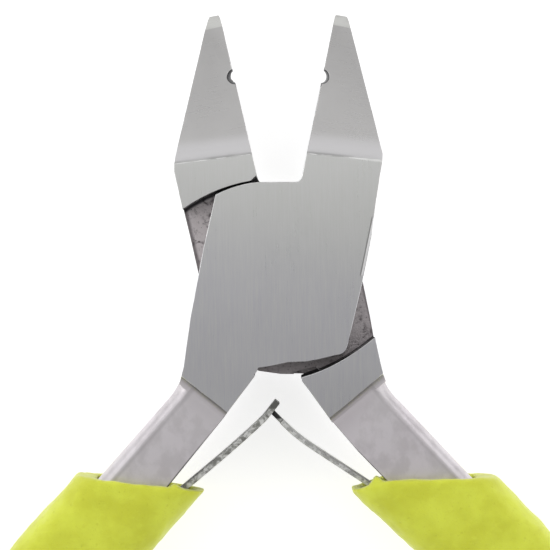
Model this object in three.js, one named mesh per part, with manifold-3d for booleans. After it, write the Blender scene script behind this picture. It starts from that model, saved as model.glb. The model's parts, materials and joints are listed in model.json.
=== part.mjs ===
// Sprue nippers: two steel levers joined by a half-lap pivot, two linked leaf springs that open
// the handles, and two foam grips.
//
// Frame: millimetres, the tool lies flat with +Z up. The pivot axis is the Z axis, the jaws point
// along +Y and the grips along -Y. z = 0 is the back face of the joint. The jaws stand open.
//
// Each lever is drawn with the jaws shut and then turned half of the opening angle. The front
// lever is the right jaw, the front half of the lap and the left handle. The rear lever is its
// mirror image with the other half of the lap. "side" is +1 for the front lever and -1 for the
// rear one; outlines are drawn for the front lever and mirrored in X for the rear one.

import * as THREE from 'three';
import { mergeVertices } from 'three/addons/utils/BufferGeometryUtils.js';
import Module from 'manifold-3d';

const wasm = await Module();
wasm.setup();

// Driving dimensions -------------------------------------------------------------------------

const OPENING_ANGLE = 24.6; // degrees from shut jaws to the sprung-open rest
const HALF_OPENING = THREE.MathUtils.degToRad(OPENING_ANGLE / 2);

const JOINT_THICKNESS = 8;
const MID_HEIGHT = JOINT_THICKNESS / 2;
const JOINT_HALF_WIDTH = 6.97;
const LAP_GAP = 0.1; // running gap between the two lap faces
const JAW_GAP = 0.03; // each jaw's cutting edge stops this far from the centre plane

const JAW_TIP = 23.45;
const JAW_BASE = 9.12;
const JAW_CREASE = 10.95; // where the thick joint ramps down to the flush face of the jaws
const JAW_CREASE_SLANT = 6; // degrees
const JAW_FACE_START = { y: 12.3, z: 7.3 };
const JAW_FACE_FALL = 0.17; // drop of the flush face per millimetre of length
const TIP_FACET_START = 22.45;
const TIP_FACET_FALL = 0.7;
const TIP_FACET_SLANT = 4; // degrees
const JAW_BACK_START = 9.5;
const JAW_BACK_RISE = 0.217;
const EDGE_LAND = 0.5; // flat left beside the cutting edge before the bevel
const EDGE_BEVEL = THREE.MathUtils.degToRad(25);

const PIN_RADIUS = 2.5;
const PIN_HEAD_RADIUS = 3.6;
const PIN_HEAD_DEPTH = 1.2;
const PIN_TOP = 6.55; // the bore in the front lever is blind, so its face stays unbroken
const PIN_CHAMFER = 0.3;
const PIN_END_ROOM = 0.15;
const PIN_FIT = 0.04;
const ROUND_SEGMENTS = 48;

const HANDLE_INSET = 0.55; // the handles are this much lower than the joint on each face
const HANDLE_RAMP = 0.6;
const HANDLE_EDGE_RADIUS = 1.1;
const TANG_BACK = 1.5;
const TANG_FRONT = JOINT_THICKNESS - TANG_BACK;
const TANG_HALF_WIDTH = 2.1;

const LEFT_HALF_THICKNESS = 0.25;
const RIGHT_HALF_THICKNESS = 0.2;
const BLADE_BACK = 1.8;
const BLADE_FRONT = JOINT_THICKNESS - BLADE_BACK;
const BLADE_ANCHOR = [-9.2, -25.6]; // rivet centre on the left blade with the jaws shut
const BLADE_TAIL = 1.9;
const BLADE_HOLE_RADIUS = 1;
const LEFT_BLADE = [[-8.54, -18.15], [-4.82, -15.1], [-1.9, -12.53], [-1.14, -11.68], [-0.44, -10.81]];
const RIGHT_BLADE = [[7.46, -18.12], [4.36, -16.03], [1.26, -13.86], [-1.02, -11.6]];
const WINDOW = { below: 1.15, above: 0.64, back: 3.05, front: 4.95 };
const TONGUE = { length: 1.3, back: 3.35, front: 4.65 };

const RIVET_TILT = THREE.MathUtils.degToRad(56); // slope of the blades at mid travel
const RIVET_SHANK_RADIUS = 0.8;
const RIVET_SHANK_LENGTH = 4.9;
const RIVET_HEAD_RADIUS = 1.5;
const RIVET_HEAD_START = 0.55; // from the middle of the blade to the underside of the head
const RIVET_HEAD_HEIGHT = 0.5;
const RIVET_HEAD_CHAMFER = 0.4;

const GRIP_HALF_WIDTH = 4.7;
const GRIP_BACK = -0.9;
const GRIP_FRONT = JOINT_THICKNESS - GRIP_BACK;
const GRIP_EDGE_RADIUS = 3.2;
const GRIP_FIT = 0.2; // gap between a grip's cavity and the tang inside it
const MOUTH_FIT = 0.08; // the same gap around the handle, where it shows
const GRIP_CENTRE = [
  [-11.2, -25],
  [-14.2, -30],
  [-18.4, -40],
  [-20.9, -52],
  [-21.4, -65],
  [-20.4, -78],
  [-19.4, -84.6],
];
const FRONT_GRIP = {
  mouth: [[-24, -21.14], [6, -18.79]],
  start: [-1.5, -8.6],
  mouthCentre: [[-4.6, -13.6], [-8.5, -20]],
  mouthHalfWidth: 4.62,
  bladeAngle: 53.25,
  tab: [[-5.73, -20.2], [-5.7, -19.5], [-5.5, -19.23], [-5.2, -19.28], [-4.95, -19.7], [-4.9, -20.2]],
};
const REAR_GRIP = {
  mouth: [[-24, -23.1], [-5.2, -19.17], [6, -19.7]],
  start: [-0.9, -8.6],
  mouthCentre: [[-4, -13.6], [-8, -20.1]],
  mouthHalfWidth: 5.1,
  bladeAngle: 48.5,
  tab: [[-4.6, -19.6], [-4.54, -18.9], [-4.3, -18.47], [-4, -18.5], [-3.5, -19.1], [-3.4, -19.6]],
};
const TAB_BACK = TANG_FRONT + 0.15; // the tab lies in front of the swing of the blade
const TAB_FRONT = 8.3;

// Solids -------------------------------------------------------------------------------------

function toSolid(geometry) {
  const bare = geometry.index ? geometry.toNonIndexed() : geometry.clone();
  bare.deleteAttribute('normal');
  bare.deleteAttribute('uv');
  const merged = mergeVertices(bare, 1e-5);
  return new wasm.Manifold(new wasm.Mesh({
    numProp: 3,
    vertProperties: Float32Array.from(merged.attributes.position.array),
    triVerts: Uint32Array.from(merged.index.array),
  }));
}

function toMesh(name, solid, material) {
  const { vertProperties, triVerts } = solid.getMesh();
  const geometry = new THREE.BufferGeometry();
  geometry.setAttribute('position', new THREE.BufferAttribute(vertProperties, 3));
  geometry.setIndex(new THREE.BufferAttribute(triVerts, 1));
  geometry.computeVertexNormals();
  const mesh = new THREE.Mesh(geometry, material);
  mesh.name = name;
  return mesh;
}

function mirrored(points, side) {
  return points.map(([x, y]) => new THREE.Vector2(x * side, y));
}

// A straight prism of an outline between two heights.
function plate(points, zLow, zHigh) {
  const geometry = new THREE.ExtrudeGeometry(new THREE.Shape(points), {
    depth: zHigh - zLow,
    bevelEnabled: false,
  });
  geometry.translate(0, 0, zLow);
  return toSolid(geometry);
}

// The same prism with its front and back edges rounded.
function roundedPlate(points, zLow, zHigh, radius, segments) {
  const geometry = new THREE.ExtrudeGeometry(new THREE.Shape(points), {
    depth: zHigh - zLow - 2 * radius,
    bevelEnabled: true,
    bevelThickness: radius,
    bevelSize: radius,
    bevelOffset: -radius,
    bevelSegments: segments,
  });
  geometry.translate(0, 0, zLow + radius);
  return toSolid(geometry);
}

// A prism of a profile whose x and y run along two given directions, from one end at "origin".
function placedPrism(profile, length, origin, xAxis, yAxis) {
  const geometry = new THREE.ExtrudeGeometry(profile, {
    depth: length,
    bevelEnabled: false,
    curveSegments: 8,
  });
  const zAxis = new THREE.Vector3().crossVectors(xAxis, yAxis);
  geometry.applyMatrix4(new THREE.Matrix4().makeBasis(xAxis, yAxis, zAxis));
  geometry.translate(origin.x, origin.y, origin.z);
  return toSolid(geometry);
}

// A prism that cuts across the tool: its profile's x runs along "direction" in the XY plane and
// its y is the height, and it reaches "halfLength" to both sides of "start".
function crossPrism(profile, start, direction, halfLength) {
  const along = new THREE.Vector3(Math.cos(direction), Math.sin(direction), 0);
  const up = new THREE.Vector3(0, 0, 1);
  const across = new THREE.Vector3().crossVectors(along, up);
  const origin = new THREE.Vector3(start[0], start[1], 0).addScaledVector(across, -halfLength);
  return placedPrism(profile, 2 * halfLength, origin, along, up);
}

function uprightCone(radiusFront, radiusBack, zLow, zHigh, y) {
  const geometry = new THREE.CylinderGeometry(
    radiusFront, radiusBack, zHigh - zLow, ROUND_SEGMENTS);
  geometry.rotateX(Math.PI / 2);
  geometry.translate(0, y, (zLow + zHigh) / 2);
  return toSolid(geometry);
}

// A cylinder through a point of the XY plane at the spring's height, along "direction".
function crossCylinder(radius, point, direction, from, to) {
  const geometry = new THREE.CylinderGeometry(radius, radius, to - from, 24);
  geometry.translate(0, (from + to) / 2, 0);
  geometry.rotateZ(direction - Math.PI / 2);
  geometry.translate(point[0], point[1], MID_HEIGHT);
  return toSolid(geometry);
}

// Samples of a smooth plane curve through the given points.
function smoothCurve(points, samples) {
  const curve = new THREE.SplineCurve(points.map(([x, y]) => new THREE.Vector2(x, y)));
  return curve.getSpacedPoints(samples).map((point) => [point.x, point.y]);
}

function quadratic(start, control, end, samples) {
  const curve = new THREE.QuadraticBezierCurve(
    new THREE.Vector2(...start), new THREE.Vector2(...control), new THREE.Vector2(...end));
  return curve.getPoints(samples).map((point) => [point.x, point.y]);
}

// Both edges of a band that follows a centre line at "halfWidth(t)" to each side of it, with a
// round cap at the far end.
function bandOutline(centre, halfWidth, capSegments) {
  const last = centre.length - 1;
  const left = [];
  const right = [];
  let normal = [0, 0];
  centre.forEach(([x, y], index) => {
    const before = centre[Math.max(index - 1, 0)];
    const after = centre[Math.min(index + 1, last)];
    const length = Math.hypot(after[0] - before[0], after[1] - before[1]);
    normal = [-(after[1] - before[1]) / length, (after[0] - before[0]) / length];
    const reach = halfWidth(index / last);
    left.push([x + normal[0] * reach, y + normal[1] * reach]);
    right.push([x - normal[0] * reach, y - normal[1] * reach]);
  });
  const cap = [];
  const reach = halfWidth(1);
  const start = Math.atan2(normal[1], normal[0]);
  for (let step = 1; step < capSegments; step += 1) {
    const angle = start - (Math.PI * step) / capSegments;
    cap.push([
      centre[last][0] + Math.cos(angle) * reach,
      centre[last][1] + Math.sin(angle) * reach,
    ]);
  }
  return [...left, ...cap, ...right.reverse()];
}

function rotated([x, y], angle) {
  return [
    x * Math.cos(angle) - y * Math.sin(angle),
    x * Math.sin(angle) + y * Math.cos(angle),
  ];
}

// Lever outlines, drawn as the front lever with the jaws shut ---------------------------------

// The arc where a jaw's full thickness ends and the other lever's lap begins.
function topShoulder(outerX) {
  const radius = 14.3;
  const centre = [1.5, -5.55];
  const points = [];
  for (let x = outerX; x > 0.5; x -= 0.9) {
    points.push([x, centre[1] + Math.sqrt(radius ** 2 - (x - centre[0]) ** 2)]);
  }
  return points;
}

function jawOutline(shape) {
  const lastSide = shape.jawSide[shape.jawSide.length - 1];
  return [
    [JAW_GAP, JAW_BASE],
    ...shape.jawTip,
    ...shape.jawSide,
    ...topShoulder(lastSide[0]),
  ];
}

const LAP_TOP_EDGE = [
  ...quadratic([-6.98, 5.89], [-5.4, 7.15], [-3.6, 7.69], 6),
  ...quadratic([-0.4, 8.36], [JAW_GAP, 8.42], [JAW_GAP, JAW_BASE], 5),
];

function lapOutline(shape) {
  const lastSide = shape.jawSide[shape.jawSide.length - 1];
  return [
    ...LAP_TOP_EDGE,
    [2, 10.2],
    [lastSide[0] - 0.1, 10.2],
    lastSide,
    [JOINT_HALF_WIDTH - 0.03, 5.2],
    [JOINT_HALF_WIDTH, 1],
    ...shape.lapFoot,
    [-1.3, -9.6],
    ...shape.lapSide,
  ];
}

const HANDLE_CREASE = { outer: [-6.7, -10.1], inner: [-1.82, -12.55] };
const HANDLE_OUTER_END = [-13.1, -22.15];
const HANDLE_INNER_END = [-6.9, -21.3];

// The full-thickness block between the other lever's lap and the foot of the handle's ramp.
function handleRoot(shape) {
  return [
    ...shape.footShoulder,
    [-6.74, -9.2],
    [-6.76, -10.2],
    [-6.84, -10.8],
    shape.rampFoot,
    ...shape.crotch,
  ];
}

function handleOutline(shape) {
  return [
    [-6.7, -9.4],
    ...shape.handleOuter,
    HANDLE_OUTER_END,
    HANDLE_INNER_END,
    ...shape.handleInner,
  ];
}

// The handle with its inner edge moved inwards, so that rounding leaves that edge square.
function handleRounding(shape) {
  return [
    [-6.7, -9.4],
    ...shape.handleOuter,
    HANDLE_OUTER_END,
    [-14.2, -24],
    [-4, -24],
    [2.4, -9.4],
  ];
}

const FRONT_LEVER = {
  side: 1,
  lapLow: MID_HEIGHT + LAP_GAP / 2,
  lapHigh: JOINT_THICKNESS,
  notch: { y: 17.84, frontRadius: 0.96, backRadius: 0.1, back: 3.8 },
  jawTip: [[JAW_GAP, JAW_TIP], [1.1, JAW_TIP + 0.03], [1.33, 23.1], [1.57, 22.55]],
  jawSide: [[6.48, 12.3], [6.6, 11.5], [6.66, 9], [6.75, 7.9]],
  lapSide: [[-6.7, -9.6], [-6.98, -5], [-7.07, 1]],
  lapFoot: [
    ...quadratic([6.8, -4.7], [6.75, -5.45], [6.0, -5.62], 4),
    [4.6, -6.28],
    [3.6, -6.68],
    [2.05, -7.05],
    [0.6, -7.7],
    [-0.37, -8.04],
    [-0.45, -8.45],
  ],
  footShoulder: quadratic([-0.48, -8.72], [-3.1, -8.5], [-6.87, -6.9], 8),
  rampFoot: [-2.55, -13.1],
  crotch: [[-0.55, -8.9]],
  handleOuter: quadratic([-6.76, -10.4], [-6.95, -11.5], [-7.8, -12.85], 5),
  handleInner: [[-5.84, -19.48], [-2.52, -13.08], [-1.3, -10.5]],
};

const REAR_LEVER = {
  side: -1,
  lapLow: 0,
  lapHigh: MID_HEIGHT - LAP_GAP / 2,
  notch: { y: 17.96, frontRadius: 1.2, backRadius: 0.1, back: 4.7 },
  jawTip: [[JAW_GAP, JAW_TIP + 0.1], [0.95, JAW_TIP + 0.15], [1.16, 23.28], [1.48, 22.7]],
  jawSide: [[6.55, 12.3], [6.81, 11.64], [6.95, 10.97], [JOINT_HALF_WIDTH, 7.8]],
  lapSide: [[-6.6, -9.6], [-6.84, -5], [-JOINT_HALF_WIDTH, 1]],
  lapFoot: [
    ...quadratic([6.8, -4.7], [6.75, -5.4], [6.0, -5.8], 4),
    [4.9, -6.7],
    [3.7, -7.55],
    [1.95, -8.22],
    [0.1, -8.68],
    [-0.3, -8.84],
  ],
  footShoulder: quadratic([0.22, -8.8], [-3, -8.72], [-6.77, -6.85], 8),
  rampFoot: [-1.5, -13.25],
  crotch: [[-0.2, -10.15], [0.28, -9.1]],
  handleOuter: quadratic([-6.72, -10.6], [-6.8, -11.7], [-7.72, -12.98], 5),
  handleInner: [[-5.35, -19.9], [-3.12, -16.2], [-1.43, -12.97], [-0.55, -10.95]],
};

const SPRING_CHANNEL = [
  [0.8, -8.3],
  [-1.25, -8.3],
  [-6.5, -19.2],
  [-8.2, -22.2],
  [-2, -22.2],
  [0.8, -12],
];

// Room in a grip for the end of the handle.
const HANDLE_END_ROOM = [
  [-11.2, -18.4],
  [-13.7, -22.8],
  [-5.8, -21.6],
  [-4.6, -19.2],
  [-3.7, -17.6],
];

const TANG_CENTRE = smoothCurve([
  [-9.6, -20.4],
  [-11.75, -24.2],
  [-14.2, -28.7],
  [-18.5, -39],
  [-21, -52],
  [-21.4, -65],
  [-20.2, -78],
], 20);

// Levers -------------------------------------------------------------------------------------

// The cut above the flush face of a jaw, with the hollow ramp that leads down to it.
function jawFaceCut(side) {
  const rampLength = JAW_FACE_START.y - JAW_CREASE;
  const reach = 14;
  const profile = new THREE.Shape();
  profile.moveTo(0, JOINT_THICKNESS + 1);
  profile.lineTo(0, JOINT_THICKNESS);
  profile.quadraticCurveTo(0.5, JAW_FACE_START.z + 0.12, rampLength, JAW_FACE_START.z);
  profile.lineTo(reach, JAW_FACE_START.z - (reach - rampLength) * JAW_FACE_FALL);
  profile.lineTo(reach, JOINT_THICKNESS + 1);
  const direction = THREE.MathUtils.degToRad(90 + JAW_CREASE_SLANT * side);
  return crossPrism(profile, [0, JAW_CREASE], direction, 12);
}

function tipFacetCut(side) {
  const reach = 2;
  const startHeight = JAW_FACE_START.z - (TIP_FACET_START - JAW_FACE_START.y) * JAW_FACE_FALL;
  const profile = new THREE.Shape();
  profile.moveTo(0, JOINT_THICKNESS);
  profile.lineTo(0, startHeight);
  profile.lineTo(reach, startHeight - reach * TIP_FACET_FALL);
  profile.lineTo(reach, JOINT_THICKNESS);
  const direction = THREE.MathUtils.degToRad(90 + TIP_FACET_SLANT * side);
  return crossPrism(profile, [0, TIP_FACET_START], direction, 8);
}

function jawBackCut() {
  const reach = 16;
  const profile = new THREE.Shape();
  profile.moveTo(0, -1);
  profile.lineTo(0, 0);
  profile.lineTo(reach, reach * JAW_BACK_RISE);
  profile.lineTo(reach, -1);
  return crossPrism(profile, [0, JAW_BACK_START], Math.PI / 2, 12);
}

// The bevel behind the cutting edge. It follows the fall of the flush face.
function edgeBevelCut(side) {
  const depth = 9;
  const profile = new THREE.Shape(mirrored([
    [-1, 0],
    [JAW_GAP, 0],
    [JAW_GAP + depth * Math.tan(EDGE_BEVEL), depth],
    [-1, depth],
  ], side));
  const fall = Math.atan(JAW_FACE_FALL);
  const down = new THREE.Vector3(0, -Math.sin(fall), -Math.cos(fall));
  const origin = new THREE.Vector3(0, JAW_FACE_START.y + 0.4, JAW_FACE_START.z - EDGE_LAND);
  return placedPrism(profile, 14, origin, new THREE.Vector3(1, 0, 0), down);
}

// The cut that takes one face of the handle down from the thick joint by a short hollow ramp.
function handleFaceCut(side, isFront) {
  const reach = 6;
  const height = (depth) => (isFront ? JOINT_THICKNESS - depth : depth);
  const profile = new THREE.Shape();
  profile.moveTo(0, height(-1));
  profile.lineTo(0, height(0));
  profile.quadraticCurveTo(0.1, height(HANDLE_INSET), HANDLE_RAMP, height(HANDLE_INSET));
  profile.lineTo(reach, height(HANDLE_INSET));
  profile.lineTo(reach, height(-1));
  const { outer, inner } = HANDLE_CREASE;
  const direction = Math.atan2(outer[0] - inner[0], (inner[1] - outer[1]) * side);
  return crossPrism(profile, [outer[0] * side, outer[1]], direction, 12);
}

function handleBody(shape) {
  const back = HANDLE_INSET;
  const front = JOINT_THICKNESS - HANDLE_INSET;
  const rounded = roundedPlate(
    mirrored(handleRounding(shape), shape.side), back, front, HANDLE_EDGE_RADIUS, 4);
  return plate(mirrored(handleOutline(shape), shape.side), back, front).intersect(rounded);
}

// Direction in which a spring rivet's head faces: towards the other handle.
function rivetDirection(side) {
  return Math.atan2(-Math.cos(RIVET_TILT), Math.sin(RIVET_TILT) * side);
}

function leverSolid(shape) {
  const { side, notch } = shape;
  const tang = bandOutline(TANG_CENTRE, () => TANG_HALF_WIDTH, 8);
  const anchor = [BLADE_ANCHOR[0] * side, BLADE_ANCHOR[1]];
  return plate(mirrored(jawOutline(shape), side), 0, JOINT_THICKNESS)
    .subtract(jawFaceCut(side))
    .subtract(tipFacetCut(side))
    .subtract(jawBackCut())
    .subtract(edgeBevelCut(side))
    .subtract(uprightCone(
      notch.frontRadius, notch.backRadius, notch.back, JOINT_THICKNESS, notch.y))
    .add(plate(mirrored(handleRoot(shape), side), 0, JOINT_THICKNESS))
    .subtract(handleFaceCut(side, true))
    .subtract(handleFaceCut(side, false))
    .add(plate(mirrored(lapOutline(shape), side), shape.lapLow, shape.lapHigh))
    .add(handleBody(shape))
    .add(plate(mirrored(tang, side), TANG_BACK, TANG_FRONT))
    .subtract(plate(mirrored(SPRING_CHANNEL, side), TANG_BACK, TANG_FRONT))
    .subtract(crossCylinder(RIVET_SHANK_RADIUS + PIN_FIT, anchor, rivetDirection(side), -8, 2));
}

function frontLever() {
  const boreRadius = PIN_RADIUS + PIN_FIT;
  return leverSolid(FRONT_LEVER)
    .subtract(uprightCone(boreRadius, boreRadius, 3, PIN_TOP + PIN_END_ROOM, 0));
}

function rearLever() {
  const boreRadius = PIN_RADIUS + PIN_FIT;
  const headSlope = (PIN_HEAD_RADIUS - PIN_RADIUS) / PIN_HEAD_DEPTH;
  return leverSolid(REAR_LEVER)
    .subtract(uprightCone(boreRadius, boreRadius, -1, MID_HEIGHT + 1, 0))
    .subtract(uprightCone(
      boreRadius, PIN_HEAD_RADIUS + PIN_FIT + headSlope, -1, PIN_HEAD_DEPTH, 0));
}

// The pivot pin: a countersunk head flush with the back face and a plain shank.
function pivotPin() {
  const profile = [
    [0, 0],
    [PIN_HEAD_RADIUS, 0],
    [PIN_RADIUS, PIN_HEAD_DEPTH],
    [PIN_RADIUS, PIN_TOP - PIN_CHAMFER],
    [PIN_RADIUS - PIN_CHAMFER, PIN_TOP],
    [0, PIN_TOP],
  ].map(([radius, height]) => new THREE.Vector2(radius, height));
  const geometry = new THREE.LatheGeometry(profile, ROUND_SEGMENTS);
  geometry.rotateX(Math.PI / 2);
  return toSolid(geometry);
}

// Springs, drawn where they rest -------------------------------------------------------------

function anchorAtRest(side) {
  const [x, y] = rotated(BLADE_ANCHOR, -HALF_OPENING);
  return [x * side, y];
}

// A rectangle along a blade, from "from" to "to" measured along "direction" from "origin".
function bladeWindow(origin, direction, from, to, zLow, zHigh) {
  const halfDepth = 1.2;
  const corners = [[from, -halfDepth], [to, -halfDepth], [to, halfDepth], [from, halfDepth]];
  const points = corners.map((corner) => {
    const [x, y] = rotated(corner, direction);
    return new THREE.Vector2(origin[0] + x, origin[1] + y);
  });
  return plate(points, zLow, zHigh);
}

function bladeSolid(side, points, halfThickness) {
  const anchor = anchorAtRest(side);
  const slope = Math.atan2(points[0][1] - anchor[1], points[0][0] - anchor[0]);
  const tail = [
    anchor[0] - BLADE_TAIL * Math.cos(slope),
    anchor[1] - BLADE_TAIL * Math.sin(slope),
  ];
  const centre = smoothCurve([tail, anchor, ...points], 22);
  const outline = bandOutline(centre, () => halfThickness, 1);
  const hole = crossCylinder(BLADE_HOLE_RADIUS, anchor, slope + Math.PI / 2, -2, 2);
  return plate(mirrored(outline, 1), BLADE_BACK, BLADE_FRONT).subtract(hole);
}

// The left blade ends in a window that the right blade's tongue reaches into.
function leftSpring() {
  const crossing = LEFT_BLADE[3];
  const slope = Math.atan2(
    LEFT_BLADE[4][1] - LEFT_BLADE[2][1], LEFT_BLADE[4][0] - LEFT_BLADE[2][0]);
  return bladeSolid(1, LEFT_BLADE, LEFT_HALF_THICKNESS).subtract(bladeWindow(
    crossing, slope, -WINDOW.below, WINDOW.above, WINDOW.back, WINDOW.front));
}

function rightSpring() {
  const tip = RIGHT_BLADE[3];
  const slope = Math.atan2(tip[1] - RIGHT_BLADE[2][1], tip[0] - RIGHT_BLADE[2][0]);
  return bladeSolid(-1, RIGHT_BLADE, RIGHT_HALF_THICKNESS)
    .subtract(bladeWindow(tip, slope, -TONGUE.length, 1, 0, TONGUE.back))
    .subtract(bladeWindow(tip, slope, -TONGUE.length, 1, TONGUE.front, JOINT_THICKNESS));
}

// A rivet with a low head on the inner side of the blade and a shank through the tang.
function springRivet(side) {
  const profile = [
    [0, -RIVET_SHANK_LENGTH],
    [RIVET_SHANK_RADIUS, -RIVET_SHANK_LENGTH],
    [RIVET_SHANK_RADIUS, RIVET_HEAD_START],
    [RIVET_HEAD_RADIUS, RIVET_HEAD_START],
    [RIVET_HEAD_RADIUS, RIVET_HEAD_START + RIVET_HEAD_HEIGHT / 2],
    [RIVET_HEAD_RADIUS - RIVET_HEAD_CHAMFER, RIVET_HEAD_START + RIVET_HEAD_HEIGHT],
    [0, RIVET_HEAD_START + RIVET_HEAD_HEIGHT],
  ].map(([radius, height]) => new THREE.Vector2(radius, height));
  const geometry = new THREE.LatheGeometry(profile, 24);
  geometry.rotateZ(rivetDirection(side) - Math.PI / 2);
  geometry.translate(BLADE_ANCHOR[0] * side, BLADE_ANCHOR[1], MID_HEIGHT);
  return toSolid(geometry);
}

// Grips --------------------------------------------------------------------------------------

// Room for a spring blade to swing inside its grip, with the rivet's head beside it.
function springRoom(side, bladeAngle) {
  const angle = THREE.MathUtils.degToRad(bladeAngle);
  const fromAnchor = (along, inward) => {
    const [x, y] = rotated([along, -inward], angle);
    return [BLADE_ANCHOR[0] + x, BLADE_ANCHOR[1] + y];
  };
  const outline = [
    fromAnchor(-2.6, 1.35),
    fromAnchor(1.9, 1.35),
    fromAnchor(10, 0.65),
    [-5.9, -18],
    [-9, -22.5],
    [-11, -27.5],
  ];
  return plate(mirrored(outline, side), TANG_BACK - 0.1, TANG_FRONT + 0.1);
}

// Room for the end of the handle. It follows the handle's rounded outer edge closely.
function handleEndRoom(side, lever) {
  const back = HANDLE_INSET - MOUTH_FIT;
  const front = JOINT_THICKNESS - HANDLE_INSET + MOUTH_FIT;
  const [start, end] = [lever.handleOuter[lever.handleOuter.length - 1], HANDLE_OUTER_END];
  const length = Math.hypot(end[0] - start[0], end[1] - start[1]);
  const outwards = [(end[1] - start[1]) / length, (start[0] - end[0]) / length];
  const moved = handleRounding(lever).map(
    ([x, y]) => [x + outwards[0] * MOUTH_FIT, y + outwards[1] * MOUTH_FIT]);
  return plate(mirrored(HANDLE_END_ROOM, side), back, front)
    .intersect(roundedPlate(mirrored(moved, side), back, front, HANDLE_EDGE_RADIUS, 4));
}

function gripSolid(side, shape, lever) {
  const centre = [shape.start, ...smoothCurve([...shape.mouthCentre, ...GRIP_CENTRE], 24)];
  const halfWidth = (t) => THREE.MathUtils.lerp(
    shape.mouthHalfWidth, GRIP_HALF_WIDTH, Math.min(t * 4, 1));
  const outline = bandOutline(centre, halfWidth, 9);
  const aboveMouth = [...shape.mouth, [6, 0], [-24, 0]];
  const tangRoom = bandOutline(TANG_CENTRE, () => TANG_HALF_WIDTH + GRIP_FIT, 8);
  return roundedPlate(mirrored(outline, side), GRIP_BACK, GRIP_FRONT, GRIP_EDGE_RADIUS, 5)
    .subtract(plate(mirrored(aboveMouth, side), GRIP_BACK - 1, GRIP_FRONT + 1))
    .subtract(plate(mirrored(tangRoom, side), TANG_BACK - GRIP_FIT, TANG_FRONT + GRIP_FIT))
    .subtract(handleEndRoom(side, lever))
    .subtract(springRoom(side, shape.bladeAngle))
    .add(plate(mirrored(shape.tab, side), TAB_BACK, TAB_FRONT));
}

// Assembly -----------------------------------------------------------------------------------

const steel = (colour, roughness) => new THREE.MeshStandardMaterial({
  color: colour,
  roughness,
  metalness: 1,
});
const foam = () => new THREE.MeshStandardMaterial({
  color: 0xc6d930,
  roughness: 0.85,
  metalness: 0,
});

const frontGroup = new THREE.Group();
frontGroup.rotation.z = -HALF_OPENING;
frontGroup.add(
  toMesh('front_lever', frontLever(), steel(0xa9a8a8, 0.38)),
  toMesh('left_spring_rivet', springRivet(1), steel(0x8d8c8a, 0.45)),
  toMesh('left_grip', gripSolid(1, FRONT_GRIP, FRONT_LEVER), foam()),
);

const rearGroup = new THREE.Group();
rearGroup.rotation.z = HALF_OPENING;
rearGroup.add(
  toMesh('rear_lever', rearLever(), steel(0xa9a8a8, 0.38)),
  toMesh('right_spring_rivet', springRivet(-1), steel(0x8d8c8a, 0.45)),
  toMesh('right_grip', gripSolid(-1, REAR_GRIP, REAR_LEVER), foam()),
);

const nippers = new THREE.Group();
nippers.add(
  frontGroup,
  rearGroup,
  toMesh('pivot_pin', pivotPin(), steel(0x9a9a99, 0.4)),
  toMesh('left_spring', leftSpring(), steel(0x8f8f88, 0.5)),
  toMesh('right_spring', rightSpring(), steel(0x9b9b95, 0.5)),
);

export default nippers;
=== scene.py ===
"""Sprue nippers, the looks: ground steel levers, bent leaf springs and foam grips on a pale floor.

Everything is in metres in the CAD frame: the pivot axis is Z, the jaws point along +Y and z = 0 is
the back face of the joint. Texture sizes are given in millimetres.
"""

import json
import math

import bmesh
import bpy
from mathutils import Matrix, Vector


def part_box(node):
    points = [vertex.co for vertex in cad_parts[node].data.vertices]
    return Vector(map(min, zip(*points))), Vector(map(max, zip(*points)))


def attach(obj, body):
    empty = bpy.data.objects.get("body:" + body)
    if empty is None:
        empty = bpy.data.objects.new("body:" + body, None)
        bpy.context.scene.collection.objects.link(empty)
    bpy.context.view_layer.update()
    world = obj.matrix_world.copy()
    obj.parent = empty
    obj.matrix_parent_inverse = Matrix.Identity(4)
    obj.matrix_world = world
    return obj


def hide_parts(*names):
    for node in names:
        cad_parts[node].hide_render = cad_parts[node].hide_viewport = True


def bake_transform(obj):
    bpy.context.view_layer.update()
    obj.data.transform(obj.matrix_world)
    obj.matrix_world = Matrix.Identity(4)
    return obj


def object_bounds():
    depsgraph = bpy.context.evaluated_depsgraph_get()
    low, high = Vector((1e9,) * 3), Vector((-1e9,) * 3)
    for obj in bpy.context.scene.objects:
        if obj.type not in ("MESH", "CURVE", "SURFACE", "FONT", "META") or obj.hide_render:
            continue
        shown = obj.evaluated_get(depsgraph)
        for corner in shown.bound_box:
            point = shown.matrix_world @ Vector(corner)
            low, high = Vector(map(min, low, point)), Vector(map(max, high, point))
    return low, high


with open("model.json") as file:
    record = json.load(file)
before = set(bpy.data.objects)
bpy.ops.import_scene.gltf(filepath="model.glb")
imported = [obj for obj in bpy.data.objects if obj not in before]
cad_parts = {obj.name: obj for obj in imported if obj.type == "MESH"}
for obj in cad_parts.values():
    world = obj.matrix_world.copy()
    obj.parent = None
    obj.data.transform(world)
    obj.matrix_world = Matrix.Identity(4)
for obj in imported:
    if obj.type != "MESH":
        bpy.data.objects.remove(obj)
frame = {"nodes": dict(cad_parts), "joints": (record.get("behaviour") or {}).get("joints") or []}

CAD_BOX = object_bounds()
MM = 0.001
JOINTS = {joint["name"]: joint for joint in frame["joints"]}
HALF_OPENING = math.radians(JOINTS["pivot"]["range_deg"][1] / 2)
JOINT_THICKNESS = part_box("front_lever")[1].z

# Camera ---------------------------------------------------------------------------------------

VIEW_WIDTH = 47.52 * MM  # width of the picture at the front face of the joint
VIEW_CENTRE = (-0.516 * MM, 0.223 * MM)
CAMERA_DISTANCE = 300 * MM  # from the front face of the joint
CAMERA_ROLL = math.radians(-0.75)


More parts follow.
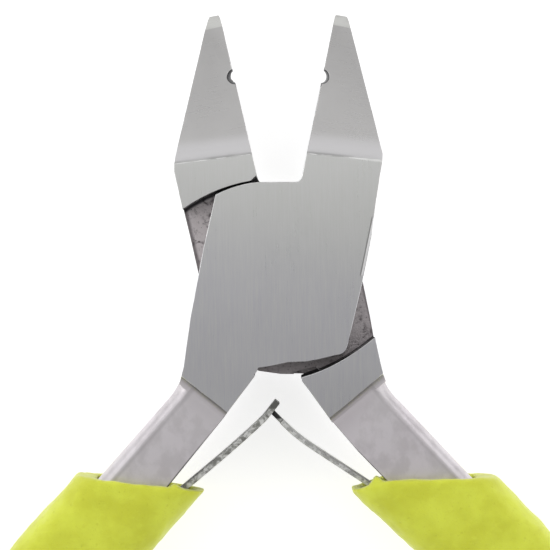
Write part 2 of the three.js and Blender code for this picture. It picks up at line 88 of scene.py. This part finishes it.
def add_camera():
    data = bpy.data.cameras.new("camera")
    data.lens = data.sensor_width * CAMERA_DISTANCE / VIEW_WIDTH
    data.clip_start = 0.01
    data.clip_end = 10
    camera = bpy.data.objects.new("camera", data)
    camera.location = (*VIEW_CENTRE, JOINT_THICKNESS + CAMERA_DISTANCE)
    camera.rotation_euler = (0, 0, CAMERA_ROLL)
    bpy.context.scene.collection.objects.link(camera)
    bpy.context.scene.camera = camera


# Materials ------------------------------------------------------------------------------------


class Graph:
    """A material's node graph, written as expressions."""

    def __init__(self, name):
        self.material = bpy.data.materials.new(name)
        self.material.use_nodes = True
        self.nodes = self.material.node_tree.nodes
        self.links = self.material.node_tree.links
        self.shader = self.nodes["Principled BSDF"]

    def put(self, value, socket):
        """Sets a socket to a value, or links it to another socket."""
        if isinstance(value, bpy.types.NodeSocket):
            self.links.new(value, socket)
        else:
            socket.default_value = value

    def set(self, **values):
        """Sets the shader's own inputs, with _ for the spaces in their names."""
        for name, value in values.items():
            self.put(value, self.shader.inputs[name.replace("_", " ")])

    def math(self, operation, first, second=0.0):
        node = self.nodes.new("ShaderNodeMath")
        node.operation = operation
        self.put(first, node.inputs[0])
        self.put(second, node.inputs[1])
        return node.outputs[0]

    def add(self, *values):
        total = values[0]
        for value in values[1:]:
            total = self.math("ADD", total, value)
        return total

    def times(self, *values):
        product = values[0]
        for value in values[1:]:
            product = self.math("MULTIPLY", product, value)
        return product

    def invert(self, value):
        return self.math("SUBTRACT", 1.0, value)

    def unsigned(self, value):
        return self.math("ABSOLUTE", value)

    def most(self, *values):
        """The largest of the values."""
        largest = values[0]
        for value in values[1:]:
            largest = self.math("MAXIMUM", largest, value)
        return largest

    def step(self, value, low, high):
        """0 at low, 1 at high and smooth in between; low may be the larger one."""
        node = self.nodes.new("ShaderNodeMapRange")
        node.interpolation_type = "SMOOTHSTEP"
        self.put(value, node.inputs["Value"])
        node.inputs["From Min"].default_value = low
        node.inputs["From Max"].default_value = high
        return node.outputs["Result"]

    def mix(self, factor, first, second):
        """A colour between two colours."""
        node = self.nodes.new("ShaderNodeMix")
        node.data_type = "RGBA"
        self.put(factor, node.inputs[0])
        self.put(first, node.inputs[6])
        self.put(second, node.inputs[7])
        return node.outputs[2]

    def between(self, factor, first, second):
        """A number between two numbers."""
        node = self.nodes.new("ShaderNodeMix")
        self.put(factor, node.inputs[0])
        self.put(first, node.inputs[2])
        self.put(second, node.inputs[3])
        return node.outputs[0]

    def distance(self, x, y, centre):
        """Distance in the XY plane from a centre."""
        to_x = self.add(x, -centre[0])
        to_y = self.add(y, -centre[1])
        return self.math("SQRT", self.add(self.times(to_x, to_x), self.times(to_y, to_y)))

    def past_line(self, x, y, line):
        """How far a place is past a line in the XY plane, given as a point and its normal."""
        point, normal = line
        along_x = self.times(self.add(x, -point[0]), normal[0])
        along_y = self.times(self.add(y, -point[1]), normal[1])
        return self.add(along_x, along_y)

    def attribute(self, name):
        node = self.nodes.new("ShaderNodeAttribute")
        node.attribute_name = name
        return node.outputs["Fac"]

    def split(self, vector):
        node = self.nodes.new("ShaderNodeSeparateXYZ")
        self.links.new(vector, node.inputs[0])
        return node.outputs[0], node.outputs[1], node.outputs[2]

    def place(self):
        """Where a point is on its piece, in metres."""
        return self.nodes.new("ShaderNodeTexCoord").outputs["Object"]

    def facing(self):
        """The piece's own surface direction."""
        return self.nodes.new("ShaderNodeTexCoord").outputs["Normal"]

    def cells(self, size, turn=0.0, place=None):
        """Coordinates that advance by 1 over each size (x, y, z) in millimetres."""
        node = self.nodes.new("ShaderNodeMapping")
        node.vector_type = "TEXTURE"
        self.links.new(place or self.place(), node.inputs["Vector"])
        node.inputs["Rotation"].default_value = (0, 0, turn)
        node.inputs["Scale"].default_value = [side * MM for side in size]
        return node.outputs[0]

    def noise(self, cells, detail=2.0, roughness=0.5, distortion=0.0):
        node = self.nodes.new("ShaderNodeTexNoise")
        self.links.new(cells, node.inputs["Vector"])
        node.inputs["Scale"].default_value = 1.0
        node.inputs["Detail"].default_value = detail
        node.inputs["Roughness"].default_value = roughness
        node.inputs["Distortion"].default_value = distortion
        return node.outputs["Fac"]

    def pits(self, cells):
        """Distance to the nearest of scattered points: 0 at a pit's middle."""
        node = self.nodes.new("ShaderNodeTexVoronoi")
        self.links.new(cells, node.inputs["Vector"])
        node.inputs["Scale"].default_value = 1.0
        return node.outputs["Distance"]

    def bump(self, height, distance, strength=1.0):
        """Height 0 to 1 stands for that distance in millimetres."""
        node = self.nodes.new("ShaderNodeBump")
        node.inputs["Strength"].default_value = strength
        node.inputs["Distance"].default_value = distance * MM
        self.links.new(height, node.inputs["Height"])
        self.links.new(node.outputs[0], self.shader.inputs["Normal"])


# The joint's two colours make a painted reflection gradient: lighter and warmer towards the jaws,
# darker and cooler towards the handles.
STEEL_WARM_LIT = (0.63, 0.635, 0.615, 1)
STEEL_COOL_SHADED = (0.6, 0.595, 0.635, 1)
STEEL_LIGHT = (0.665, 0.665, 0.66, 1)
JAW_STEEL = (0.47, 0.46, 0.46, 1)
RAMP_HIGHLIGHT = (0.68, 0.67, 0.685, 1)
TIP_HIGHLIGHT = (0.64, 0.64, 0.62, 1)
# Bright steel for rubbed edges, also used as painted highlight.
POLISH_AND_HIGHLIGHT = (0.95, 0.95, 0.95, 1)
HANDLE_STEEL = (0.78, 0.73, 0.765, 1)
HANDLE_STAINED_AND_SHADED = (0.66, 0.615, 0.64, 1)
HANDLE_SHADE = (0.4, 0.38, 0.39, 1)
SCALE_LIGHT = (0.62, 0.575, 0.585, 1)
SCALE_DARK = (0.13, 0.115, 0.12, 1)
# Painted shade for the creases, the painted chamfer and the handles' inner walls and edges.
WALL_SHADE = (0.12, 0.115, 0.118, 1)
SHADOW = (0.02, 0.02, 0.022, 1)

# Places on a lever, in millimetres, with the jaws shut and the rear lever mirrored onto the front
# one. A line is a point on it and the direction in which the distance from it grows.
HANDLE_CREASE = ((-6.7, -10.1), (-0.449, -0.894))
HANDLE_OUTER_EDGE = ((-7.8, -12.85), (0.869, -0.495))
HANDLE_SLOPE = math.radians(33)  # from the tool's long axis
FRONT_INNER_EDGE = ((-2.52, -13.08), (-0.8877, 0.4605))
REAR_INNER_EDGE = ((-3.12, -16.2), (-0.8565, 0.516))
FRONT_SHADE_WIDTH = 0.16  # of the dark line down the handle's inner edge
REAR_SHADE_WIDTH = 0.11
JAW_CREASE = ((0, 10.95), (-0.1045, 0.9945))
TIP_START = 22.42
NOTCH_SHADE = (0, 17.78)  # centre of the dark round on the walls of the notches
TOP_SHOULDER = (1.5, -5.55)  # centre of the round shoulder behind a jaw
FOOT_SHOULDER = (1.14, 8.0)  # centre of the round shoulder above a handle
LAP_FACE = JOINT_THICKNESS / MM / 2
CHANNEL_DEPTH = 2.5  # from the lap face to the floor of a spring's channel
# The chamfer down the joint's free side, drawn as a painted highlight with painted shade beside it:
# its inner edge, and its two ends.
PAINTED_CHAMFER = {"edge": 6.6, "start": 1.4, "end": 6.9}


class LeverPlaces:
    """Where the parts of a lever are: distances in millimetres, and masks from 0 to 1."""

    def __init__(self, graph, side, inner_edge, shade_width):
        x, y, z = graph.split(graph.cells((side, 1, 1), -side * HALF_OPENING))
        across, along, up = graph.split(graph.facing())
        flat = graph.step(graph.unsigned(up), 0.5, 0.8)
        self.x, self.y, self.up = x, y, up

        self.from_crease = graph.past_line(x, y, HANDLE_CREASE)
        self.from_outer = graph.past_line(x, y, HANDLE_OUTER_EDGE)
        self.from_jaw = graph.past_line(x, y, JAW_CREASE)
        self.handle = graph.step(self.from_crease, 0.0, 0.3)
        self.jaw = graph.step(self.from_jaw, 0.1, 1.2)

        from_lap = graph.unsigned(graph.add(z, -LAP_FACE))
        from_channel = graph.unsigned(graph.add(from_lap, -CHANNEL_DEPTH))
        channel = graph.times(graph.step(from_channel, 0.15, 0.1), graph.step(y, -5, -6))
        self.floor = graph.times(graph.most(graph.step(from_lap, 0.4, 0.2), channel), flat)

        # Masks for painted shade: upright walls, the corners at the round shoulders, the floor
        # beside the foot shoulder, and the walls of the notches.
        inside = graph.step(graph.unsigned(y), 10.4, 9.8)
        self.wall = graph.times(graph.step(graph.unsigned(along), 0.55, 0.8), inside)
        from_top = graph.distance(x, y, TOP_SHOULDER)
        from_foot = graph.distance(x, y, FOOT_SHOULDER)
        self.corner = graph.most(
            graph.times(graph.step(from_top, 13.9, 14.15), graph.step(y, 0, 1)),
            graph.times(graph.step(from_foot, 16.66, 16.78), graph.step(y, 0, -1)),
        )
        self.foot_shade = graph.times(graph.step(from_foot, 15.9, 16.7), graph.step(y, -4, -6))
        self.notch = graph.times(
            graph.step(graph.distance(x, y, NOTCH_SHADE), 0.9, 0.8),
            graph.step(graph.unsigned(up), 0.93, 0.8),
        )

        # Masks for painted shade on the handle's inner wall and along its inner edge.
        self.inward = graph.times(graph.step(graph.times(across, side), 0.15, 0.3), self.handle)
        from_inner = graph.past_line(x, y, inner_edge)
        self.inner_shade = graph.times(
            graph.step(from_inner, shade_width, 0.25 * shade_width),
            graph.step(y, -13, -18),
            self.handle,
        )
        self.edge = graph.times(graph.attribute("edge"), graph.invert(self.floor))
        # Mask of the painted chamfer: painted shade, with a painted highlight down its middle.
        self.chamfer = graph.times(
            graph.step(y, PAINTED_CHAMFER["start"], PAINTED_CHAMFER["start"] + 0.3),
            graph.step(y, PAINTED_CHAMFER["end"], PAINTED_CHAMFER["end"] - 0.4),
            graph.step(z, 7, 7.5),
            graph.step(x, PAINTED_CHAMFER["edge"], PAINTED_CHAMFER["edge"] + 0.05),
            1.0 if side > 0 else 0.0,
        )


def lever_lines(graph, places, side):
    """Upright grain on the joint, cross scratches on the jaws and brushing along the handles."""
    grain = graph.noise(graph.cells((0.11, 5, 0.11)), 3.0, 0.6)
    fine_grain = graph.noise(graph.cells((0.05, 1.6, 0.05)), 2.0, 0.6)
    scratches = graph.noise(graph.cells((2.6, 0.07, 0.3), -side * HALF_OPENING), 3.0, 0.6)
    brushing = graph.noise(graph.cells((0.12, 2.4, 0.12), -side * HANDLE_SLOPE), 3.0, 0.65)
    lines = graph.between(places.jaw, graph.between(0.45, grain, fine_grain), scratches)
    return graph.between(places.handle, lines, brushing)


def ground_colour(graph, places, lines, clouds, stains):
    """The ground faces: joint, jaws with their ramps and tips, and handles, with a painted
    reflection gradient down the joint, painted highlights on the jaw ramps and tips, and painted
    shade on the handles beside the crease.
    """
    # Painted reflection gradient down the joint, lighter towards the jaws.
    joint = graph.mix(graph.step(places.y, 7, -3), STEEL_WARM_LIT, STEEL_COOL_SHADED)
    colour = graph.mix(graph.step(lines, 0.3, 0.75), joint, STEEL_LIGHT)
    colour = graph.mix(graph.times(places.jaw, 0.8), colour, JAW_STEEL)
    # Painted highlight on the concave ramp at the foot of each jaw.
    ramp_highlight = graph.times(
        graph.step(places.from_jaw, 0.0, 0.2), graph.step(places.from_jaw, 2.2, 0.9))
    colour = graph.mix(graph.times(ramp_highlight, 0.8), colour, RAMP_HIGHLIGHT)
    # Painted highlight on the jaws' tip facets.
    colour = graph.mix(graph.step(places.y, TIP_START, TIP_START + 0.1), colour, TIP_HIGHLIGHT)
    # Real stains, and painted shade on the handle beside the crease, fading out over 3 mm.
    dark = graph.most(graph.step(stains, 0.62, 0.36), graph.step(places.from_crease, 3.0, 0.4))
    handle_colour = graph.mix(dark, HANDLE_STEEL, HANDLE_STAINED_AND_SHADED)
    colour = graph.mix(graph.times(places.handle, 0.85), colour, handle_colour)
    return graph.mix(graph.times(graph.step(clouds, 0.4, 0.7), 0.22), colour, STEEL_LIGHT)


def painted_shade_lines(graph, places, colour, clouds):
    """Painted shade: the dark lines in the creases, and the one beside a handle's rounded outer
    edge.
    """
    jaw_line = graph.times(
        graph.step(places.from_jaw, -0.12, 0.02),
        graph.step(places.from_jaw, 0.3, 0.08),
        graph.step(clouds, 0.3, 0.6),
    )
    handle_line = graph.times(
        graph.step(places.from_crease, -0.06, 0.02), graph.step(places.from_crease, 0.5, 0.05))
    creases = graph.times(graph.most(jaw_line, handle_line), graph.step(places.up, 0.2, 0.4))
    colour = graph.mix(graph.times(creases, 0.4), colour, WALL_SHADE)
    outer_shade_line = graph.times(
        graph.step(places.from_outer, 0.8, 0.95),
        graph.step(places.from_outer, 1.4, 1.05),
        places.handle,
        0.4,
    )
    return graph.mix(outer_shade_line, colour, HANDLE_SHADE)


def forged_colour(graph, places, mottling, specks):
    """The rough faces in the lap, darker at their outer rims and towards the handles, with painted
    shade beside the shoulder above the handle and painted black shadow in their corners.
    """
    colour = graph.mix(graph.step(mottling, 0.3, 0.5), SCALE_DARK, SCALE_LIGHT)
    colour = graph.mix(graph.step(specks, 0.4, 0.3), colour, SCALE_DARK)
    # Darker towards the outer rims and the handles, and painted shade beside the shoulder above the
    # handle.
    rim_darkening_and_shade = graph.most(
        graph.times(graph.step(graph.unsigned(places.x), 6.5, 6.8), 0.75),
        graph.times(places.foot_shade, 0.35),
        graph.times(graph.step(places.y, 0.5, -2), 0.3),
    )
    colour = graph.mix(rim_darkening_and_shade, colour, SCALE_DARK)
    # Painted shadow in the corners at the round shoulders.
    return graph.mix(graph.times(places.corner, 0.93), colour, SHADOW)


def worn_and_lit_edges(graph, places, stains):
    """Where the broken edges are bright: rubbed wear and a painted highlight, so those that face
    the shade stay dull.
    """
    low_side = graph.times(graph.step(places.x, 3, 4), graph.step(places.y, 1.5, 0.5))
    shaded = graph.most(places.inward, low_side)
    return graph.times(places.edge, graph.step(stains, 0.4, 0.6), graph.invert(shaded), 0.7)


def edge_marks(graph, places, colour):
    """The painted highlight of the joint's chamfer with painted shade beside it, and painted shade
    on the walls, the notches and the handles' inner edges.
    """
    colour = graph.mix(graph.times(places.chamfer, 0.6), colour, WALL_SHADE)
    # Painted highlight down the middle of the painted chamfer.
    bright = graph.times(
        places.chamfer,
        graph.step(places.x, PAINTED_CHAMFER["edge"] + 0.12, PAINTED_CHAMFER["edge"] + 0.15),
        graph.step(places.x, PAINTED_CHAMFER["edge"] + 0.33, PAINTED_CHAMFER["edge"] + 0.3),
    )
    colour = graph.mix(bright, colour, POLISH_AND_HIGHLIGHT)
    inner = graph.most(places.inward, places.inner_shade)
    colour = graph.mix(graph.times(inner, 0.95), colour, WALL_SHADE)
    return graph.mix(graph.most(places.wall, places.notch), colour, SHADOW)


def lever_roughness(graph, places, lines, clouds, wear_and_highlight):
    jaw_ramp = graph.times(
        graph.step(places.from_jaw, -0.1, 0.1), graph.step(places.from_jaw, 1.7, 1.2))
    handle_ramp = graph.times(
        graph.step(places.from_crease, -0.1, 0.1), graph.step(places.from_crease, 0.9, 0.6))
    return graph.add(
        0.22,
        graph.times(lines, 0.08),
        graph.times(clouds, 0.06),
        graph.times(places.handle, 0.16),
        graph.times(places.floor, 0.2),
        graph.times(graph.most(jaw_ramp, handle_ramp), 0.12),
        graph.times(wear_and_highlight, -0.08),
    )


def lever_steel(name, side, inner_edge, shade_width):
    """Ground steel, with rough forged faces in the lap; side is 1 or, mirrored, -1."""
    graph = Graph(name)
    places = LeverPlaces(graph, side, inner_edge, shade_width)
    lines = lever_lines(graph, places, side)
    clouds = graph.noise(graph.cells((5, 7, 5)), 3.0, 0.55)
    stains = graph.noise(graph.cells((1.4, 1.8, 1.4)), 4.0, 0.6)
    mottling = graph.noise(graph.cells((0.85, 0.85, 0.85)), 5.0, 0.62, 0.4)
    specks = graph.noise(graph.cells((0.22, 0.22, 0.22)), 3.0, 0.6)

    colour = ground_colour(graph, places, lines, clouds, stains)
    colour = painted_shade_lines(graph, places, colour, clouds)
    colour = graph.mix(places.floor, colour, forged_colour(graph, places, mottling, specks))
    wear_and_highlight = worn_and_lit_edges(graph, places, stains)
    # Rubbed wear and painted highlight on the broken edges.
    colour = graph.mix(wear_and_highlight, colour, POLISH_AND_HIGHLIGHT)
    colour = edge_marks(graph, places, colour)
    roughness = lever_roughness(graph, places, lines, clouds, wear_and_highlight)
    graph.set(Metallic=1.0, Base_Color=colour, Roughness=roughness)
    relief = graph.between(places.floor, graph.times(lines, 0.05), graph.add(mottling, specks))
    graph.bump(relief, 0.05, 0.6)
    return graph.material


PIN_DARK = (0.5, 0.5, 0.5, 1)
PIN_LIGHT = (0.66, 0.66, 0.66, 1)
PIN_RING_RATE = 60  # radians of the rings' wave in a millimetre
RIVET_DARK = (0.42, 0.42, 0.41, 1)
RIVET_LIGHT = (0.62, 0.62, 0.61, 1)


def pin_steel():
    """The pin's head, ground flush with the back face, with fine turning rings."""
    graph = Graph("pin_steel")
    x, y, _ = graph.split(graph.cells((1, 1, 1)))
    radius = graph.distance(x, y, (0, 0))
    grain = graph.noise(graph.cells((0.1, 3.5, 0.1)), 3.0, 0.6)
    rings = graph.math("SINE", graph.times(radius, PIN_RING_RATE))
    rim = graph.step(radius, 3.3, 3.6)
    colour = graph.mix(grain, PIN_DARK, PIN_LIGHT)
    colour = graph.mix(graph.times(rim, 0.7), colour, SHADOW)
    graph.set(Metallic=1.0, Base_Color=colour, Roughness=graph.add(0.28, graph.times(grain, 0.2)))
    graph.bump(graph.add(graph.times(grain, 0.2), graph.times(rings, 0.02)), 0.05, 0.6)
    return graph.material


def spring_steel(name, light, dark, end, shade_start):
    """Heat-treated strip: mottled, and darkened by painted shade from the end's start, in
    millimetres, to its tip.
    """
    graph = Graph(name)
    rest = graph.nodes.new("ShaderNodeAttribute")
    rest.attribute_name = "rest_place"
    place = rest.outputs["Vector"]
    blotches = graph.noise(graph.cells((0.5, 0.5, 0.9), 0.6, place), 4.0, 0.6, 0.3)
    specks = graph.noise(graph.cells((0.16, 0.16, 0.4), 0.0, place), 3.0, 0.6)
    height = graph.split(graph.cells((1, 1, 1), 0.0, place))[1]
    shaded_end = graph.step(height, shade_start - 0.12, shade_start + 0.12)
    colour = graph.mix(graph.step(blotches, 0.4, 0.6), dark, light)
    colour = graph.mix(graph.times(graph.step(specks, 0.42, 0.3), 0.7), colour, SCALE_DARK)
    # Painted shade over the spring's end past the crossing.
    colour = graph.mix(shaded_end, colour, end)
    graph.set(Metallic=1.0, Base_Color=colour)
    graph.set(Roughness=graph.add(0.36, graph.times(blotches, 0.22)))
    graph.bump(graph.add(blotches, specks), 0.02, 0.7)
    return graph.material


def rivet_steel():
    """Plain satin steel, hidden in the grips."""
    graph = Graph("rivet_steel")
    grain = graph.noise(graph.cells((0.25, 0.25, 0.25)), 4.0, 0.6)
    colour = graph.mix(grain, RIVET_DARK, RIVET_LIGHT)
    graph.set(Metallic=1.0, Base_Color=colour, Roughness=graph.add(0.3, graph.times(grain, 0.25)))
    graph.bump(grain, 0.02, 0.5)
    return graph.material


FOAM_LIGHT = (0.78, 0.85, 0.085, 1)
FOAM_DEEP = (0.67, 0.71, 0.055, 1)
FOAM_PIT = (0.56, 0.58, 0.04, 1)


def grip_foam():
    """Matt closed-cell foam: soft blotches, fine cells and small scattered pits."""
    graph = Graph("grip_foam")
    clouds = graph.noise(graph.cells((4.5, 4.5, 4.5)), 3.0, 0.55)
    blotches = graph.noise(graph.cells((1.1, 0.8, 1.1)), 3.0, 0.6, 0.3)
    cells = graph.noise(graph.cells((0.16, 0.16, 0.16)), 3.0, 0.65)
    pits = graph.step(graph.pits(graph.cells((1.0, 1.0, 1.0))), 0.16, 0.05)
    colour = graph.mix(graph.step(clouds, 0.35, 0.68), FOAM_DEEP, FOAM_LIGHT)
    colour = graph.mix(graph.times(graph.step(blotches, 0.5, 0.8), 0.6), colour, FOAM_LIGHT)
    colour = graph.mix(graph.times(graph.step(blotches, 0.44, 0.28), 0.5), colour, FOAM_DEEP)
    colour = graph.mix(graph.times(graph.step(cells, 0.42, 0.28), 0.4), colour, FOAM_PIT)
    colour = graph.mix(graph.times(pits, 0.25), colour, FOAM_PIT)
    height = graph.add(graph.times(cells, 0.8), graph.times(blotches, 0.6), graph.times(pits, -0.5))
    graph.set(Base_Color=colour, Roughness=graph.add(0.72, graph.times(cells, 0.2)))
    graph.set(Subsurface_Weight=0.25, Subsurface_Scale=0.6 * MM)
    graph.shader.inputs["Subsurface Radius"].default_value = (1.0, 1.0, 0.2)
    graph.set(Sheen_Weight=0.45, Sheen_Roughness=0.45, Specular_IOR_Level=0.3)
    graph.bump(height, 0.06, 0.7)
    return graph.material


# Pieces ---------------------------------------------------------------------------------------

SHARP = math.radians(32)  # the least angle at which an edge is broken
FLAT = math.radians(0.5)  # the largest angle between faces that are made one
LEVER_EDGE = 0.045 * MM
PIN_EDGE = 0.03 * MM
RIVET_EDGE = 0.05 * MM
SPRING_EDGE = 0.05 * MM
STEEL_WELD = 0.05 * MM  # vertices closer than this become one
FINE_WELD = 0.002 * MM
FOAM_VOXEL = 0.25 * MM
FOAM_SOFTENING = 9
LUMP_SIZE = 2.2 * MM
LUMP_HEIGHT = 0.28 * MM


def give_material(piece, material):
    piece.data.materials.clear()
    piece.data.materials.append(material)


def shade_smooth(piece):
    for polygon in piece.data.polygons:
        polygon.use_smooth = True


def crisp_faces(piece):
    """Shades flat faces flat, right up to their broken edges."""
    shade_smooth(piece)
    weighted = piece.modifiers.new("flat_faces", "WEIGHTED_NORMAL")
    weighted.weight = 100


def copy_of(node, name, weld, edge_width=0.0):
    """A new object shaped as a CAD node, with its flat faces whole and its edges broken."""
    mesh = frame["nodes"][node].data.copy()
    mesh.name = name
    work = bmesh.new()
    work.from_mesh(mesh)
    bmesh.ops.remove_doubles(work, verts=work.verts, dist=weld)
    bmesh.ops.dissolve_limit(work, angle_limit=FLAT, verts=work.verts, edges=work.edges)
    if edge_width:
        bmesh.ops.dissolve_degenerate(work, edges=work.edges, dist=edge_width)
        sharp = [
            edge for edge in work.edges
            if edge.is_manifold and edge.calc_face_angle() > SHARP
        ]
        broken = bmesh.ops.bevel(
            work, geom=sharp, offset=edge_width, segments=2, profile=0.5, affect="EDGES",
            clamp_overlap=False)
        on_edge = work.loops.layers.float.new("edge")
        for face in broken["faces"]:
            for loop in face.loops:
                loop[on_edge] = 1
    work.to_mesh(mesh)
    work.free()
    piece = bpy.data.objects.new(name, mesh)
    bpy.context.scene.collection.objects.link(piece)
    return piece


def steel_piece(node, body, edge_width, material):
    """A steel part: crisp flat faces that meet in small broken edges."""
    piece = copy_of(node, f"{node}_steel", STEEL_WELD, edge_width)
    give_material(piece, material)
    crisp_faces(piece)
    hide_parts(node)
    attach(piece, body)


def apply_modifiers(piece):
    evaluated = piece.evaluated_get(bpy.context.evaluated_depsgraph_get())
    mesh = bpy.data.meshes.new_from_object(evaluated)
    piece.modifiers.clear()
    piece.data = mesh


def spring_piece(node, material):
    """A leaf spring that bends between its rivet, on the lever, and the crossing. Its material
    reads rest_place, so that the mottling bends with it."""
    piece = copy_of(node, f"{node}_blade", FINE_WELD, SPRING_EDGE)
    give_material(piece, material)
    crisp_faces(piece)
    rest = piece.data.attributes.new("rest_place", "FLOAT_VECTOR", "POINT")
    for vertex, value in zip(piece.data.vertices, rest.data):
        value.vector = vertex.co
    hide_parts(node)
    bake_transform(piece)


def grip_piece(node, body, material):
    """A foam sleeve: the CAD sleeve softened, with a slightly lumpy skin."""
    piece = copy_of(node, f"{node}_foam", FINE_WELD)
    remesh = piece.modifiers.new("remesh", "REMESH")
    remesh.mode = "VOXEL"
    remesh.voxel_size = FOAM_VOXEL
    soften = piece.modifiers.new("soften", "SMOOTH")
    soften.factor = 0.5
    soften.iterations = FOAM_SOFTENING
    lumps = bpy.data.textures.new(f"{node}_lumps", "CLOUDS")
    lumps.noise_scale = LUMP_SIZE
    lumps.noise_depth = 2
    displace = piece.modifiers.new("lumps", "DISPLACE")
    displace.texture = lumps
    displace.texture_coords = "LOCAL"
    displace.strength = LUMP_HEIGHT
    displace.mid_level = 0.5
    apply_modifiers(piece)
    give_material(piece, material)
    shade_smooth(piece)
    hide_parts(node)
    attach(piece, body)


def add_steel():
    front = lever_steel("front_lever_steel", 1, FRONT_INNER_EDGE, FRONT_SHADE_WIDTH)
    rear = lever_steel("rear_lever_steel", -1, REAR_INNER_EDGE, REAR_SHADE_WIDTH)
    steel_piece("front_lever", "front_lever", LEVER_EDGE, front)
    steel_piece("rear_lever", "rear_lever", LEVER_EDGE, rear)
    steel_piece("pivot_pin", "rear_lever", PIN_EDGE, pin_steel())
    rivet = rivet_steel()
    steel_piece("left_spring_rivet", "front_lever", RIVET_EDGE, rivet)
    steel_piece("right_spring_rivet", "rear_lever", RIVET_EDGE, rivet)


def add_springs():
    # Each spring's end colour is painted shade.
    left = spring_steel(
        "left_spring_steel",
        light=(0.78, 0.78, 0.76, 1),
        dark=(0.3, 0.3, 0.28, 1),
        end=(0.16, 0.16, 0.15, 1),
        shade_start=-11.4,
    )
    right = spring_steel(
        "right_spring_steel",
        light=(0.76, 0.76, 0.74, 1),
        dark=(0.5, 0.5, 0.48, 1),
        end=(0.06, 0.06, 0.06, 1),
        shade_start=-12.35,
    )
    spring_piece("left_spring", left)
    spring_piece("right_spring", right)


def add_grips():
    foam = grip_foam()
    grip_piece("left_grip", "front_lever", foam)
    grip_piece("right_grip", "rear_lever", foam)


# Studio ---------------------------------------------------------------------------------------


FLOOR_REACH = 3.0  # from the middle to each side
FLOOR_GAP = 0.2 * MM  # under the tool
WORLD_BRIGHTNESS = 0.4
SOFTBOXES = {
    "overhead": {"place": (0, 0.044, 0.16), "size": (0.4, 0.06), "radiance": 0.75},
    "jaw_side": {"place": (0, 0.41, 0.29), "size": (0.6, 0.5), "radiance": 0.5},
    "left_side": {"place": (-0.5, 0, 0.26), "size": (0.6, 0.42), "radiance": 1.35},
    "right_side": {"place": (0.5, 0, 0.26), "size": (0.6, 0.42), "radiance": 1.0},
}


def add_floor():
    """A plain pale floor that shows as white."""
    reach = FLOOR_REACH
    height = CAD_BOX[0].z - FLOOR_GAP
    mesh = bpy.data.meshes.new("floor")
    corners = [(-reach, -reach), (reach, -reach), (reach, reach), (-reach, reach)]
    mesh.from_pydata([(x, y, height) for x, y in corners], [], [(0, 1, 2, 3)])
    floor = bpy.data.objects.new("floor", mesh)
    bpy.context.scene.collection.objects.link(floor)
    graph = Graph("pale_floor")
    graph.set(Base_Color=(0.6, 0.6, 0.6, 1), Roughness=0.9, Specular_IOR_Level=0.1)
    graph.set(Emission_Color=(1, 1, 1, 1), Emission_Strength=0.72)
    give_material(floor, graph.material)


def add_softbox(name, place, size, radiance):
    """A rectangular area light that faces the tool; radiance is its brightness."""
    data = bpy.data.lights.new(name, "AREA")
    data.shape = "RECTANGLE"
    data.size = size[0]
    data.size_y = size[1]
    data.energy = radiance * math.pi * size[0] * size[1]
    light = bpy.data.objects.new(name, data)
    light.location = place
    light.rotation_euler = Vector(place).to_track_quat("Z", "Y").to_euler()
    light.visible_camera = False
    bpy.context.scene.collection.objects.link(light)


def add_studio():
    world = bpy.data.worlds.new("studio")
    world.use_nodes = True
    background = world.node_tree.nodes["Background"]
    background.inputs["Color"].default_value = (1, 1, 1, 1)
    background.inputs["Strength"].default_value = WORLD_BRIGHTNESS
    bpy.context.scene.world = world
    for name, softbox in SOFTBOXES.items():
        add_softbox(name, **softbox)
    bpy.context.scene.view_settings.view_transform = "Standard"


add_camera()
add_floor()
add_steel()
add_springs()
add_grips()
add_studio()
